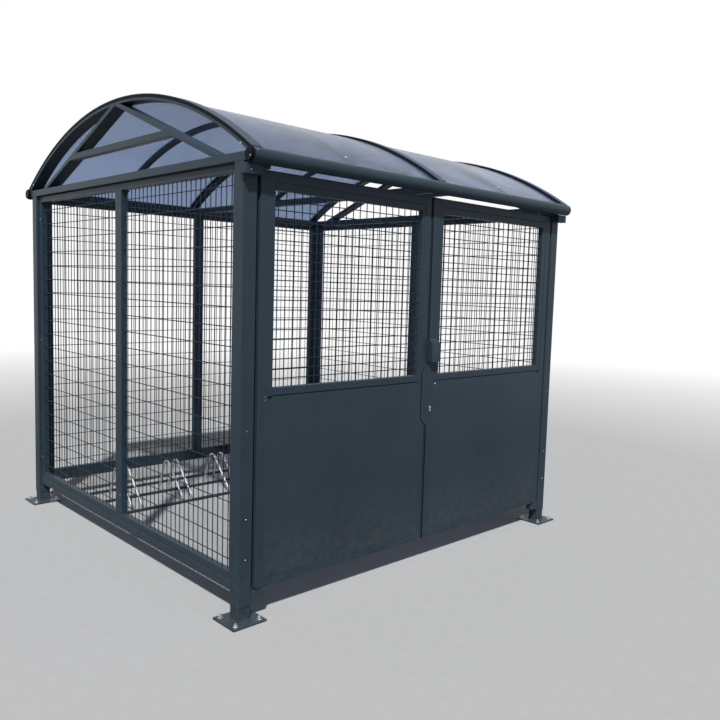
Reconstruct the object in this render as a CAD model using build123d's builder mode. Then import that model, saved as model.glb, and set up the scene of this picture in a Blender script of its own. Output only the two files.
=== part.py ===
"""Bike shelter: a steel frame with welded mesh walls, two half-sheeted mesh doors,
an arched roof of two curved sheets and a low bicycle rack inside.

Millimetres. X runs along the front, Y from the front to the back and Z up.
The origin lies on the ground, in the middle of the shelter's footprint.
"""

import os
from math import asin, atan2, cos, degrees, sin, tan

from build123d import *

# Overall sizes, over the posts' outer faces and up to the crown of the cover strips
width = 2700
depth = 2800
height = 2790

# Clearances
seat_gap = 0.3
sheet_joint = 3

# Posts and their feet
post_size = 80
post_wall = 3
post_bottom = 80
plate_size = 200
plate_thick = 8
anchor_pitch = 140
anchor_hole = 14
stub_wall = 4
stub_rise = 150

# Head frame on the posts
head_bottom = 2295
head_height = 45
tie_width = 40

# Eave tubes in front of the front posts and behind the back posts
eave_diameter = 76
eave_wall = 3
eave_reach = 60
eave_rise = 22.5
cap_thick = 20

# Wall panels and the rails under them
rail_size = 50
rail_bottom = 145
panel_bar = 40
panel_top_gap = 5
wire = 5
upright_pitch = 50
cross_pitch = 100
wire_layer_gap = 0.3
wire_bite = 2

# Arched roof. Its layers lie inside one circle that touches the eave tubes.
gable_arch_depth = 16
arch_depth = 30
arch_width = 40
sheet_thick = 6
strip_thick = 14
strip_width = 60
end_setback = 17

# Gable trusses. The collar sits at a share of the height between the side bar and the apex.
rafter_depth = 40
rafter_foot_half = 1103
rafter_crown = 4
collar_share = 0.37
collar_height = 40
collar_bite = 6

# Doors
door_bar = 50
door_bottom = 155
door_top = 2268
door_side_gap = 20
door_seam = 10
seam_shift = 17
sash_bar = 40
sash_depth = 40
sash_setback = 2
mid_rail_bottom = 1150
door_pitch = 50
sheet_metal = 2
sheet_return = 20
relief_hole = 11
relief_from_edge = 165
relief_below_top = 12
corner_cut = 9

# Hinge pins and the blocks that carry them
pin_diameter = 16
pin_clearance = 0.1
pin_from_edge = 18
pin_length = 42
block_gap = 5
block_width = 75
block_height = 50
head_block_width = 95
head_block_outside = 20
head_block_depth = 50
head_block_bottom = 2230
head_block_height = 50

# Lock tongue on the right leaf, in a notch of the left leaf, and the pull on the right leaf
tongue_bottom = 877
tongue_top = 1250
tongue_reach = 39
tongue_clearance = 10
pull_bottom = 1270
pull_top = 1415
pull_depth = 40
pull_slope = 30
pull_wall = 3

# Bicycle rack
rack_rail = 20
rack_left = -1115
rack_right = 955
rack_rows = (641, 1003, 1275)
hoop_bar = 16
hoop_sides = 6
hoop_pairs = 5
hoop_pair_pitch = 409
hoop_first_pair = -905
hoop_gap = 78
hoop_height = 302
hoop_top_y = 900
hoop_foot = 40
hoop_top_bend = 45

# Sizes worked out from the ones above
post_x = width / 2 - post_size / 2
post_y = depth / 2 - post_size / 2
inner_x = width / 2 - post_size
inner_y = depth / 2 - post_size
head_top = head_bottom + head_height
eave_radius = eave_diameter / 2
eave_y = depth / 2 + eave_reach
eave_z = head_bottom + eave_rise
rail_top = rail_bottom + rail_size
panel_height = head_bottom - panel_top_gap - rail_top

# The roof's circle: its crown is set by the height, and it touches the eave tubes.
# The layers are counted inwards from it: cover strips, sheets and arches.
crown_over_tube = height - eave_radius
roof_centre_z = (crown_over_tube**2 - eave_z**2 - eave_y**2) / (2 * (crown_over_tube - eave_z))
strip_outer = height - roof_centre_z
strip_inner = strip_outer - strip_thick
sheet_outer = strip_inner - seat_gap
sheet_inner = sheet_outer - sheet_thick
arch_outer = sheet_inner - seat_gap
gable_arch_inner = arch_outer - gable_arch_depth
arch_inner = arch_outer - arch_depth
eave_angle = degrees(asin(eave_y / (strip_outer - eave_radius)))

# Door leaves. The seam lies left of the middle, so the right leaf has the wider meeting stile
# and the left mesh the narrower bar beside its stile: the openings stay even.
leaf_outer = inner_x - door_side_gap
door_front = -depth / 2
sash_outer = leaf_outer - door_bar
left_leaf_end = -seam_shift - door_seam / 2
right_leaf_end = -seam_shift + door_seam / 2
left_sash_end = left_leaf_end - door_bar
right_sash_end = door_seam / 2 + door_bar
sash_top = door_top - door_bar
pin_x = leaf_outer - pin_from_edge
pin_y = door_front + door_bar / 2


def save(piece, name):
    """Name a finished piece and write its file."""
    piece.part.label = name
    export_step(piece.part, f"parts/{name}.step")


def make_post(x, y):
    """A square tube that ends above the ground, over the stub of its foot."""
    with BuildPart() as post:
        with BuildSketch(Plane.XY.offset(post_bottom)):
            with Locations((x, y)):
                Rectangle(post_size, post_size)
                Rectangle(post_size - 2 * post_wall, post_size - 2 * post_wall, mode=Mode.SUBTRACT)
        extrude(amount=head_bottom - post_bottom)
    return post


def make_foot(x, y):
    """A base plate with four anchor holes and a stub tube that reaches up into the post."""
    stub = post_size - 2 * (post_wall + seat_gap)
    with BuildPart() as foot:
        with BuildSketch():
            with Locations((x, y)):
                Rectangle(plate_size, plate_size)
                with GridLocations(anchor_pitch, anchor_pitch, 2, 2):
                    Circle(anchor_hole / 2, mode=Mode.SUBTRACT)
        extrude(amount=plate_thick)
        with BuildSketch(Plane.XY.offset(plate_thick)):
            with Locations((x, y)):
                Rectangle(stub, stub)
                Rectangle(stub - 2 * stub_wall, stub - 2 * stub_wall, mode=Mode.SUBTRACT)
        extrude(amount=post_bottom + stub_rise - plate_thick)
    return foot


def make_head_bar(x, bar_width, y_from, y_to):
    """A bar of the head frame along Y, with its ends coped to the eave tubes."""
    with BuildPart() as bar:
        with BuildSketch(Plane.XY.offset(head_bottom)):
            with Locations((x, (y_from + y_to) / 2)):
                Rectangle(bar_width, y_to - y_from)
        extrude(amount=head_height)
        with BuildSketch(Plane.YZ):
            with Locations((-eave_y, eave_z), (eave_y, eave_z)):
                Circle(eave_radius + seat_gap)
        extrude(amount=width, both=True, mode=Mode.SUBTRACT)
    return bar


def make_eave_tube(y):
    """A round tube along the eave, open at both ends for its caps."""
    with BuildPart() as tube:
        with BuildSketch(Plane.YZ):
            with Locations((y, eave_z)):
                Circle(eave_radius)
                Circle(eave_radius - eave_wall, mode=Mode.SUBTRACT)
        extrude(amount=width / 2, both=True)
    return tube


def make_panel(plane, panel_width, height_up, bar, last_bar, thick, pitch_x, pitch_y):
    """A welded mesh panel, drawn on a plane at its lower left corner.

    Four bars make the frame, and the last one, on the right, may differ from the others.
    The upright wires are one layer, held by the upper and lower bars, and the cross wires
    are a second layer right behind it, held by the side bars.
    """
    open_width = panel_width - bar - last_bar
    open_height = height_up - 2 * bar
    middle = (bar + open_width / 2, height_up / 2)
    uprights = int(open_width / pitch_x)
    crosses = int(open_height / pitch_y)
    layer = (thick - wire_layer_gap) / 2 - wire
    with BuildPart() as panel:
        with BuildSketch(plane):
            with Locations((panel_width / 2, height_up / 2)):
                Rectangle(panel_width, height_up)
            with Locations(middle):
                Rectangle(open_width, open_height, mode=Mode.SUBTRACT)
        extrude(amount=thick)
        with BuildSketch(plane.offset(layer)):
            with Locations(middle):
                with GridLocations(pitch_x, 0, uprights, 1):
                    Rectangle(wire, open_height + 2 * wire_bite)
        extrude(amount=wire)
        with BuildSketch(plane.offset(layer + wire + wire_layer_gap)):
            with Locations(middle):
                with GridLocations(0, pitch_y, 1, crosses):
                    Rectangle(open_width + 2 * wire_bite, wire)
        extrude(amount=wire)
    return panel


def make_bands(spans, inner, outer):
    """Pieces bent to the roof's circle, each from one X to another: arches, sheets or strips.

    Their ends are coped to the eave tubes and trimmed to the top of the head frame.
    """
    end_angle = eave_angle - degrees(end_setback / outer)
    with BuildPart() as bands:
        for x_from, x_to in spans:
            with BuildSketch(Plane.YZ.offset(x_from)):
                with BuildLine():
                    centre = (0, roof_centre_z)
                    lower = CenterArc(centre, inner, 90 - end_angle, 2 * end_angle)
                    upper = CenterArc(centre, outer, 90 - end_angle, 2 * end_angle)
                    Line(lower @ 0, upper @ 0)
                    Line(lower @ 1, upper @ 1)
                make_face()
                with Locations((-eave_y, eave_z), (eave_y, eave_z)):
                    Circle(eave_radius + seat_gap, mode=Mode.SUBTRACT)
                with Locations((0, head_top - depth / 2)):
                    Rectangle(2 * depth, depth, mode=Mode.SUBTRACT)
            extrude(amount=x_to - x_from)
    return bands


def make_truss(x):
    """Two rafters from the side bar to the crown of the arch, tied by a collar."""
    apex_z = roof_centre_z + gable_arch_inner - rafter_crown
    slope = atan2(apex_z - head_top, rafter_foot_half)
    upper_rise = rafter_depth / cos(slope)
    collar_bottom = head_top + collar_share * (apex_z - head_top)
    collar_half = rafter_foot_half - (collar_bottom - head_top) / tan(slope) + collar_bite
    foot_outer = rafter_foot_half + rafter_depth / sin(slope)
    with BuildPart() as truss:
        with BuildSketch(Plane.YZ.offset(x - post_size / 2)):
            with BuildLine():
                Polyline(
                    (-foot_outer, head_top),
                    (0, apex_z + upper_rise),
                    (foot_outer, head_top),
                    (rafter_foot_half, head_top),
                    (0, apex_z),
                    (-rafter_foot_half, head_top),
                    close=True,
                )
            make_face()
            with Locations((0, collar_bottom + collar_height / 2)):
                Rectangle(2 * collar_half, collar_height)
            with Locations((0, roof_centre_z)):
                Circle(gable_arch_inner - seat_gap, mode=Mode.INTERSECT)
        extrude(amount=post_size)
    return truss


def make_door_frame(side, sash_end):
    """Hinge stile with both pins, and the upper and lower rail. side is -1 left, 1 right."""
    stile_x = side * (leaf_outer - door_bar / 2)
    rail_x = (side * sash_outer + sash_end) / 2
    with BuildPart() as frame:
        with BuildSketch(Plane.XY.offset(door_bottom)):
            with Locations((stile_x, pin_y)):
                Rectangle(door_bar, door_bar)
        extrude(amount=door_top - door_bottom)
        for rail_z in (door_bottom, door_top - door_bar):
            with BuildSketch(Plane.XY.offset(rail_z)):
                with Locations((rail_x, pin_y)):
                    Rectangle(abs(side * sash_outer - sash_end), door_bar)
            extrude(amount=door_bar)
        with BuildSketch(Plane.XZ.offset(-door_front)):
            with BuildLine():
                Polyline(
                    (side * leaf_outer, door_bottom),
                    (side * (leaf_outer - corner_cut), door_bottom),
                    (side * leaf_outer, door_bottom + corner_cut),
                    close=True,
                )
            make_face()
        extrude(amount=-door_bar, mode=Mode.SUBTRACT)
        with BuildSketch(Plane.XY.offset(door_bottom - pin_length)):
            with Locations((side * pin_x, pin_y)):
                Circle(pin_diameter / 2)
        extrude(amount=pin_length)
        with BuildSketch(Plane.XY.offset(door_top)):
            with Locations((side * pin_x, pin_y)):
                Circle(pin_diameter / 2)
        extrude(amount=pin_length)
    return frame


def tongue_profile(grow):
    """Corners of the lock tongue in XZ, grown evenly by a clearance."""
    left = right_leaf_end - tongue_reach - grow
    right = right_leaf_end
    low = tongue_bottom - grow
    high = tongue_top + grow
    reach = right - left
    return ((right, low), (left, low + reach), (left, high - reach), (right, high))


os.makedirs("parts", exist_ok=True)

# Posts and feet
corners = {
    "front_left": (-post_x, -post_y),
    "front_right": (post_x, -post_y),
    "back_left": (-post_x, post_y),
    "back_right": (post_x, post_y),
}
for corner, (x, y) in corners.items():
    save(make_post(x, y), f"{corner}_post")
    save(make_foot(x, y), f"{corner}_foot")

# Head frame
save(make_head_bar(-post_x, post_size, -eave_y, eave_y), "left_chord")
save(make_head_bar(post_x, post_size, -eave_y, eave_y), "right_chord")
save(make_head_bar(0, tie_width, -eave_y, inner_y), "middle_tie")
with BuildPart() as back_beam:
    with BuildSketch(Plane.XY.offset(head_bottom)):
        with Locations((0, post_y)):
            Rectangle(2 * inner_x, post_size)
    extrude(amount=head_height)
save(back_beam, "back_beam")

# Eave tubes
save(make_eave_tube(-eave_y), "front_eave_tube")
save(make_eave_tube(eave_y), "back_eave_tube")
with BuildPart() as eave_tube_caps:
    for x in (-width / 2 - cap_thick, width / 2):
        with BuildSketch(Plane.YZ.offset(x)):
            with Locations((-eave_y, eave_z), (eave_y, eave_z)):
                Circle(eave_radius)
        extrude(amount=cap_thick)
save(eave_tube_caps, "eave_tube_caps")

# Rails under the wall panels
for name, x in (("left_base_rail", -post_x), ("right_base_rail", post_x)):
    with BuildPart() as base_rail:
        with BuildSketch(Plane.XY.offset(rail_bottom)):
            with Locations((x, 0)):
                Rectangle(rail_size, 2 * inner_y)
        extrude(amount=rail_size)
    save(base_rail, name)
with BuildPart() as back_base_rail:
    with BuildSketch(Plane.XY.offset(rail_bottom)):
        with Locations((0, post_y)):
            Rectangle(2 * inner_x, rail_size)
    extrude(amount=rail_size)
save(back_base_rail, "back_base_rail")

# Wall panels, two to each wall. Each plane faces outwards, with its X along the wall.
panel_face_x = post_x - panel_bar / 2
panel_face_y = post_y - panel_bar / 2
wall_planes = {
    "left_front_panel": Plane((-panel_face_x, 0, rail_top), x_dir=(0, -1, 0), z_dir=(-1, 0, 0)),
    "left_back_panel": Plane((-panel_face_x, inner_y, rail_top), x_dir=(0, -1, 0), z_dir=(-1, 0, 0)),
    "right_front_panel": Plane((panel_face_x, -inner_y, rail_top), x_dir=(0, 1, 0), z_dir=(1, 0, 0)),
    "right_back_panel": Plane((panel_face_x, 0, rail_top), x_dir=(0, 1, 0), z_dir=(1, 0, 0)),
    "back_left_panel": Plane((0, panel_face_y, rail_top), x_dir=(-1, 0, 0), z_dir=(0, 1, 0)),
    "back_right_panel": Plane((inner_x, panel_face_y, rail_top), x_dir=(-1, 0, 0), z_dir=(0, 1, 0)),
}
for name, plane in wall_planes.items():
    panel_width = inner_x if name.startswith("back") else inner_y
    bars = (panel_bar, panel_bar, panel_bar)
    save(make_panel(plane, panel_width, panel_height, *bars, upright_pitch, cross_pitch), name)

# Roof arches: wide thin ones over the side walls, narrow deep ones between them
half_bar = arch_width / 2
quarter_x = width / 4
quarter_spans = [(x - half_bar, x + half_bar) for x in (-quarter_x, quarter_x)]
save(make_bands([(-width / 2, -inner_x)], gable_arch_inner, arch_outer), "left_arch")
save(make_bands([(inner_x, width / 2)], gable_arch_inner, arch_outer), "right_arch")
save(make_bands([(-half_bar, half_bar)], arch_inner, arch_outer), "middle_arch")
save(make_bands(quarter_spans, arch_inner, arch_outer), "quarter_arches")
save(make_truss(-post_x), "left_truss")
save(make_truss(post_x), "right_truss")

# Roof sheets and the strips that cover their edges
save(make_bands([(-width / 2, -sheet_joint / 2)], sheet_inner, sheet_outer), "left_roof_sheet")
save(make_bands([(sheet_joint / 2, width / 2)], sheet_inner, sheet_outer), "right_roof_sheet")
strip_spans = [
    (-width / 2, -width / 2 + strip_width),
    (-strip_width / 2, strip_width / 2),
    (width / 2 - strip_width, width / 2),
]
save(make_bands(strip_spans, strip_inner, strip_outer), "cover_strips")

# Blocks on the front posts: under the ends of the eave tube, and round the hinge pins
with BuildPart() as front_head_blocks:
    with BuildSketch(Plane.XY.offset(head_block_bottom)):
        block_x = width / 2 + head_block_outside - head_block_width / 2
        with Locations((-block_x, door_front - head_block_depth / 2)):
            Rectangle(head_block_width, head_block_depth)
        with Locations((block_x, door_front - head_block_depth / 2)):
            Rectangle(head_block_width, head_block_depth)
    extrude(amount=head_block_height)
save(front_head_blocks, "front_head_blocks")

with BuildPart() as pivot_blocks:
    for z in (door_bottom - block_gap - block_height, door_top + block_gap):
        for side in (-1, 1):
            with BuildSketch(Plane.XY.offset(z)):
                with Locations((side * (inner_x - block_width / 2), pin_y)):
                    Rectangle(block_width, door_bar)
                with Locations((side * pin_x, pin_y)):
                    Circle(pin_diameter / 2 + pin_clearance, mode=Mode.SUBTRACT)
            extrude(amount=block_height)
save(pivot_blocks, "pivot_blocks")

# Door leaves
sash_height = sash_top - mid_rail_bottom
sheet_height = mid_rail_bottom - door_bottom - door_bar
leaves = (
    (-1, "left", left_leaf_end, left_sash_end, sash_bar - seam_shift),
    (1, "right", right_leaf_end, right_sash_end, sash_bar),
)
for side, word, leaf_end, sash_end, last_bar in leaves:
    sash_width = abs(side * sash_outer - sash_end)
    sash_middle = (side * sash_outer + sash_end) / 2
    save(make_door_frame(side, sash_end), f"{word}_door_frame")

    with BuildPart() as meeting_stile:
        with BuildSketch(Plane.XY.offset(door_bottom)):
            with Locations(((sash_end + leaf_end) / 2, pin_y)):
                Rectangle(abs(sash_end - leaf_end), door_bar)
        extrude(amount=door_top - door_bottom)
        if side < 0:
            with BuildSketch(Plane.XZ.offset(-door_front)):
                with BuildLine():
                    Polyline(*tongue_profile(tongue_clearance), close=True)
                make_face()
            extrude(amount=-door_bar, mode=Mode.SUBTRACT)
    save(meeting_stile, f"{word}_meeting_stile")

    sash_corner = min(side * sash_outer, sash_end)
    sash_back = door_front + sash_setback + sash_depth
    sash_plane = Plane((sash_corner, sash_back, mid_rail_bottom), x_dir=(1, 0, 0), z_dir=(0, -1, 0))
    bars = (sash_bar, last_bar, sash_depth)
    save(make_panel(sash_plane, sash_width, sash_height, *bars, door_pitch, door_pitch), f"{word}_door_mesh")

    # The lower half is a folded tray: a flush face with a return on all four sides
    with BuildPart() as door_sheet:
        with BuildSketch(Plane.XZ.offset(-door_front)):
            with Locations((sash_middle, door_bottom + door_bar + sheet_height / 2)):
                Rectangle(sash_width - 2 * seat_gap, sheet_height - 2 * seat_gap)
        extrude(amount=-sheet_return)
        with BuildSketch(Plane.XZ.offset(-door_front - sheet_metal)):
            with Locations((sash_middle, door_bottom + door_bar + sheet_height / 2)):
                Rectangle(
                    sash_width - 2 * (seat_gap + sheet_metal),
                    sheet_height - 2 * (seat_gap + sheet_metal),
                )
        extrude(amount=-sheet_return, mode=Mode.SUBTRACT)
        with BuildSketch(Plane.XZ.offset(-door_front)):
            with Locations((side * (leaf_outer - relief_from_edge), mid_rail_bottom - relief_below_top)):
                Circle(relief_hole / 2)
        extrude(amount=-sheet_metal, mode=Mode.SUBTRACT)
    save(door_sheet, f"{word}_door_sheet")

# Lock tongue and pull on the right leaf
with BuildPart() as lock_tongue:
    with BuildSketch(Plane.XZ.offset(-door_front)):
        with BuildLine():
            Polyline(*tongue_profile(0), close=True)
        make_face()
    extrude(amount=-door_bar)
save(lock_tongue, "lock_tongue")

pull_width = right_sash_end - right_leaf_end
with BuildPart() as door_pull:
    with BuildSketch(Plane.YZ.offset(right_leaf_end)):
        with BuildLine():
            Polyline(
                (door_front, pull_bottom),
                (door_front - pull_depth, pull_bottom),
                (door_front - pull_depth, pull_top - pull_slope),
                (door_front - pull_depth + pull_slope, pull_top),
                (door_front, pull_top),
                close=True,
            )
        make_face()
    extrude(amount=pull_width)
    with BuildSketch(Plane.YZ.offset(right_leaf_end + pull_wall)):
        with BuildLine():
            Polyline(
                (door_front, pull_bottom),
                (door_front - pull_depth + pull_wall, pull_bottom),
                (door_front - pull_depth + pull_wall, pull_top - pull_slope - pull_wall),
                (door_front - pull_depth + pull_slope + pull_wall, pull_top - pull_wall),
                (door_front, pull_top - pull_wall),
                close=True,
            )
        make_face()
    extrude(amount=pull_width - 2 * pull_wall, mode=Mode.SUBTRACT)
save(door_pull, "door_pull")

# Bicycle rack: three rails on the floor and pairs of bent hoops on the first two
with BuildPart() as rack_rails:
    with BuildSketch():
        for y in rack_rows:
            with Locations(((rack_left + rack_right) / 2, y)):
                Rectangle(rack_right - rack_left, rack_rail)
    extrude(amount=rack_rail)
save(rack_rails, "rack_rails")

hoop_front, hoop_back = rack_rows[0], rack_rows[1]
with BuildPart() as rack_hoops:
    for pair in range(hoop_pairs):
        for offset_x in (-hoop_gap / 2, hoop_gap / 2):
            x = hoop_first_pair + pair * hoop_pair_pitch + offset_x
            with BuildLine(Plane.YZ.offset(x)) as hoop_line:
                FilletPolyline(
                    (hoop_front, rack_rail),
                    (hoop_front, rack_rail + hoop_foot),
                    (hoop_top_y, rack_rail + hoop_height),
                    (hoop_back, rack_rail + hoop_foot),
                    (hoop_back, rack_rail),
                    radius=[0, hoop_top_bend, 0],
                )
            with BuildSketch(Plane((x, hoop_front, rack_rail))):
                RegularPolygon(hoop_bar / 2, hoop_sides)
            sweep(path=hoop_line.line, transition=Transition.RIGHT)
save(rack_hoops, "rack_hoops")
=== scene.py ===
"""Bike shelter: a powder coated steel frame with welded mesh walls, two half-sheeted doors,
a smoked arched roof and a low bicycle rack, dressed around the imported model."""

from math import asin, atan2, cos, radians, sin, tan

import bmesh
import bpy
from bpy.props import FloatProperty, FloatVectorProperty, PointerProperty
from mathutils import Matrix, Vector


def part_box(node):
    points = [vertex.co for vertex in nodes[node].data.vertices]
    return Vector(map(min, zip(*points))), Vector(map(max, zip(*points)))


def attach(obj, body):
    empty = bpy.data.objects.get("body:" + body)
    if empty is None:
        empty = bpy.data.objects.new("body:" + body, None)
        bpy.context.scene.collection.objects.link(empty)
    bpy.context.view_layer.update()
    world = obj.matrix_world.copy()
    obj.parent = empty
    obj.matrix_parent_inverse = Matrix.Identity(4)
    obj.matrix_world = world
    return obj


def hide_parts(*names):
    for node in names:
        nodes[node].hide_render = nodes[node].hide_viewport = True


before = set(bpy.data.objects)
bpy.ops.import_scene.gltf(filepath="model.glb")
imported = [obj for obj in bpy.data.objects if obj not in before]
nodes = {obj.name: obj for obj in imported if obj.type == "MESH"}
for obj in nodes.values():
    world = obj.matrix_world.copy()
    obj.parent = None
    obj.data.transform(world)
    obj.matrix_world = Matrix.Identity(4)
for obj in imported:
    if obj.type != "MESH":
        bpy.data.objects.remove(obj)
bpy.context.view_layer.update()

bl_info = {
    "name": "Bike shelter dressing",
    "version": (1, 0, 0),
    "blender": (4, 5, 0),
    "location": "3D View > Sidebar > Shelter",
    "description": "Builds the visible pieces and finishes of a bike shelter around its packed model",
    "category": "Add Mesh",
}

MILLI = 0.001
SHARP = radians(50)
SMOOTH = radians(38)
UP = Vector((0, 0, 1))
FRONT = Vector((0, -1, 0))

CORNERS = ("front_left", "front_right", "back_left", "back_right")

# Each wall panel with the axis and the side that it faces
WALL_PANELS = (
    ("left_front_panel", (0, -1)),
    ("left_back_panel", (0, -1)),
    ("right_front_panel", (0, 1)),
    ("right_back_panel", (0, 1)),
    ("back_left_panel", (1, 1)),
    ("back_right_panel", (1, 1)),
)


def sizes():
    return bpy.context.scene.shelter_sizes


def colours():
    return bpy.context.scene.shelter_colours


def studio():
    return bpy.context.scene.shelter_studio


# The roof's circle, read from the eave tubes and the crown of the arches


class RoofCircle:
    """The circle of the cover strips, how far round it reaches to the eave tubes, and the
    radius on which each layer under it ends."""

    short_of_tube = 0.017

    def __init__(self):
        low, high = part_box("front_eave_tube")
        self.tube_radius = (high.z - low.z) / 2
        self.tube_y = -(low.y + high.y) / 2
        self.tube_z = (low.z + high.z) / 2
        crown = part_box("cover_strips")[1].z
        over_tube = crown - self.tube_radius
        self.centre_z = (over_tube**2 - self.tube_z**2 - self.tube_y**2) / (2 * (over_tube - self.tube_z))
        self.strip = crown - self.centre_z
        self.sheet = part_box("left_roof_sheet")[1].z - self.centre_z
        self.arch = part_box("middle_arch")[1].z - self.centre_z
        eave_angle = asin(self.tube_y / (self.strip - self.tube_radius))
        self.end_angle = eave_angle - self.short_of_tube / self.strip

    def point(self, x, angle, radius):
        """A point at an angle from the crown, positive towards the back."""
        return Vector((x, radius * sin(angle), self.centre_z + radius * cos(angle)))

    def turned_out(self, x, angle, radius):
        """A placement whose Z points straight out of the roof."""
        return Matrix.Translation(self.point(x, angle, radius)) @ Matrix.Rotation(-angle, 4, "X")


roof = RoofCircle()


# Mesh helpers


def add_block(bm, low, high):
    """A block between two corners."""
    low, high = Vector(low), Vector(high)
    made = bmesh.ops.create_cube(bm, size=1)["verts"]
    bmesh.ops.scale(bm, verts=made, vec=high - low)
    bmesh.ops.translate(bm, verts=made, vec=(low + high) / 2)
    return made


def bevel(bm, geom, radius, segments, affect):
    bmesh.ops.bevel(
        bm,
        geom=geom,
        offset=radius,
        offset_type="OFFSET",
        segments=segments,
        profile=0.5,
        affect=affect,
        material=-1,
        clamp_overlap=True,
    )


def soften(bm, edges, radius, segments=3):
    """Rounds edges."""
    edges = [edge for edge in edges if edge.is_valid]
    if edges:
        bevel(bm, edges, radius, segments, "EDGES")


def of_kind(geom, kind):
    return [item for item in geom if isinstance(item, kind)]


def edges_of(verts):
    return list({edge for vert in verts for edge in vert.link_edges})


def edges_along(verts, axis):
    """The edges between vertices that are parallel to the X, Y or Z axis, given as 0, 1 or 2."""
    steps = [(edge, edge.verts[1].co - edge.verts[0].co) for edge in edges_of(verts)]
    return [edge for edge, step in steps if abs(step[axis]) > 0.999 * step.length]


def end_face(faces, axis, sign=1):
    """The face that lies furthest out along an axis."""
    return max(faces, key=lambda face: face.calc_center_median()[axis] * sign)


def faces_of(verts):
    return {face for vert in verts for face in vert.link_faces}


def inset(bm, face, width, depth=0):
    bmesh.ops.inset_region(bm, faces=[face], thickness=width, depth=depth)


def push_face(bm, face, way):
    """Pulls new sides out of a face, and gives the face at their end."""
    made = bmesh.ops.extrude_face_region(bm, geom=[face])["geom"]
    bmesh.ops.translate(bm, verts=of_kind(made, bmesh.types.BMVert), vec=way)
    return of_kind(made, bmesh.types.BMFace)[0]


def add_bar(bm, low, high, radius, segments=3):
    """A bar with rounded long edges. Its longest side is its run."""
    size = Vector(high) - Vector(low)
    axis = max(range(3), key=lambda i: size[i])
    made = add_block(bm, low, high)
    soften(bm, edges_along(made, axis), radius, segments)


def facing(place, direction):
    """A placement whose Z points along a direction."""
    return Matrix.Translation(place) @ direction.to_track_quat("Z", "Y").to_matrix().to_4x4()


def add_cone(bm, place, high, radius, end_radius, sides):
    """A cylinder or a blunt cone along the Z of a placement in its middle."""
    return bmesh.ops.create_cone(
        bm,
        cap_ends=True,
        cap_tris=False,
        segments=sides,
        radius1=radius,
        radius2=end_radius,
        depth=high,
        matrix=place,
    )["verts"]


def add_rod(bm, start, end, radius, sides=8):
    """A straight round rod between two points."""
    start, end = Vector(start), Vector(end)
    return add_cone(bm, facing((start + end) / 2, end - start), (end - start).length, radius, radius, sides)


def add_bent_rod(bm, points, bends, radius, sides, bend_steps):
    """A round rod that runs through points, with a bend of its own radius at each inner one."""
    points = [Vector(point) for point in points]
    heading = (points[1] - points[0]).normalized()
    ring = bmesh.ops.create_circle(
        bm, cap_ends=True, segments=sides, radius=radius, matrix=facing(points[0], heading)
    )["verts"]
    cap = ring[0].link_faces[0]
    here = points[0]
    for index in range(1, len(points)):
        corner = points[index]
        last = index == len(points) - 1
        setback = 0
        if not last:
            bend_radius = bends[index - 1]
            onward = (points[index + 1] - corner).normalized()
            turn = heading.angle(onward)
            setback = bend_radius * tan(turn / 2)
        run = (corner - here).length - setback
        if run > 0:
            cap = push_face(bm, cap, heading * run)
        if not last:
            here = corner - heading * setback
            axis = heading.cross(onward).normalized()
            centre = here + axis.cross(heading) * bend_radius
            made = bmesh.ops.spin(
                bm, geom=[cap], cent=centre, axis=axis, dvec=(0, 0, 0), angle=turn, steps=bend_steps
            )["geom_last"]
            cap = of_kind(made, bmesh.types.BMFace)[0]
            here = corner + onward * setback
            heading = onward


def add_band(bm, x_from, x_to, inner, outer, steps=96, corner=0.0):
    """A bar, sheet or strip bent to the roof's circle, from one eave to the other."""
    part = bmesh.new()
    start = Matrix.Translation((0, 0, roof.centre_z)) @ Matrix.Rotation(roof.end_angle, 4, "X")
    profile = [
        part.verts.new(start @ Vector((x, 0, radius)))
        for x, radius in ((x_from, inner), (x_to, inner), (x_to, outer), (x_from, outer))
    ]
    part.faces.new(profile)
    if corner:
        bevel(part, profile, corner, 3, "VERTICES")
    bmesh.ops.spin(
        part,
        geom=[*part.faces],
        cent=(0, 0, roof.centre_z),
        axis=(1, 0, 0),
        dvec=(0, 0, 0),
        angle=-2 * roof.end_angle,
        steps=steps,
    )
    join(bm, part)


def cut_level(bm, height, above):
    """Cuts off what lies above or below a height, and closes the cut."""
    cut = bmesh.ops.bisect_plane(
        bm,
        geom=[*bm.verts, *bm.edges, *bm.faces],
        plane_co=(0, 0, height),
        plane_no=UP,
        clear_outer=above,
        clear_inner=not above,
    )["geom_cut"]
    bmesh.ops.edgenet_fill(bm, edges=of_kind(cut, bmesh.types.BMEdge))


def copied_node(node):
    """A node's mesh with its loose triangles joined into whole faces."""
    bm = bmesh.new()
    bm.from_mesh(nodes[node].data)
    bmesh.ops.remove_doubles(bm, verts=bm.verts, dist=0.01 * MILLI)
    bmesh.ops.dissolve_limit(bm, angle_limit=radians(0.3), verts=bm.verts, edges=bm.edges)
    return bm


def outer_edges(bm, shortest):
    """Sharp edges that stand out and are longer than a length."""
    return [
        edge
        for edge in bm.edges
        if edge.is_manifold and edge.calc_length() > shortest and edge.calc_face_angle_signed() > SHARP
    ]


def as_mesh(bm, name):
    bmesh.ops.recalc_face_normals(bm, faces=bm.faces)
    mesh = bpy.data.meshes.new(name)
    bm.to_mesh(mesh)
    bm.free()
    return mesh


def join(bm, part):
    """Moves one bmesh into another."""
    mesh = as_mesh(part, "part")
    bm.from_mesh(mesh)
    bpy.data.meshes.remove(mesh)


def stamp(bm, pattern, place):
    """Adds a copy of a small finished mesh at a placement."""
    copy = pattern.copy()
    copy.transform(place)
    bm.from_mesh(copy)
    bpy.data.meshes.remove(copy)


def put(name, data):
    """A new object in the scene."""
    made = bpy.data.objects.new(name, data)
    bpy.context.scene.collection.objects.link(made)
    return made


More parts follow.
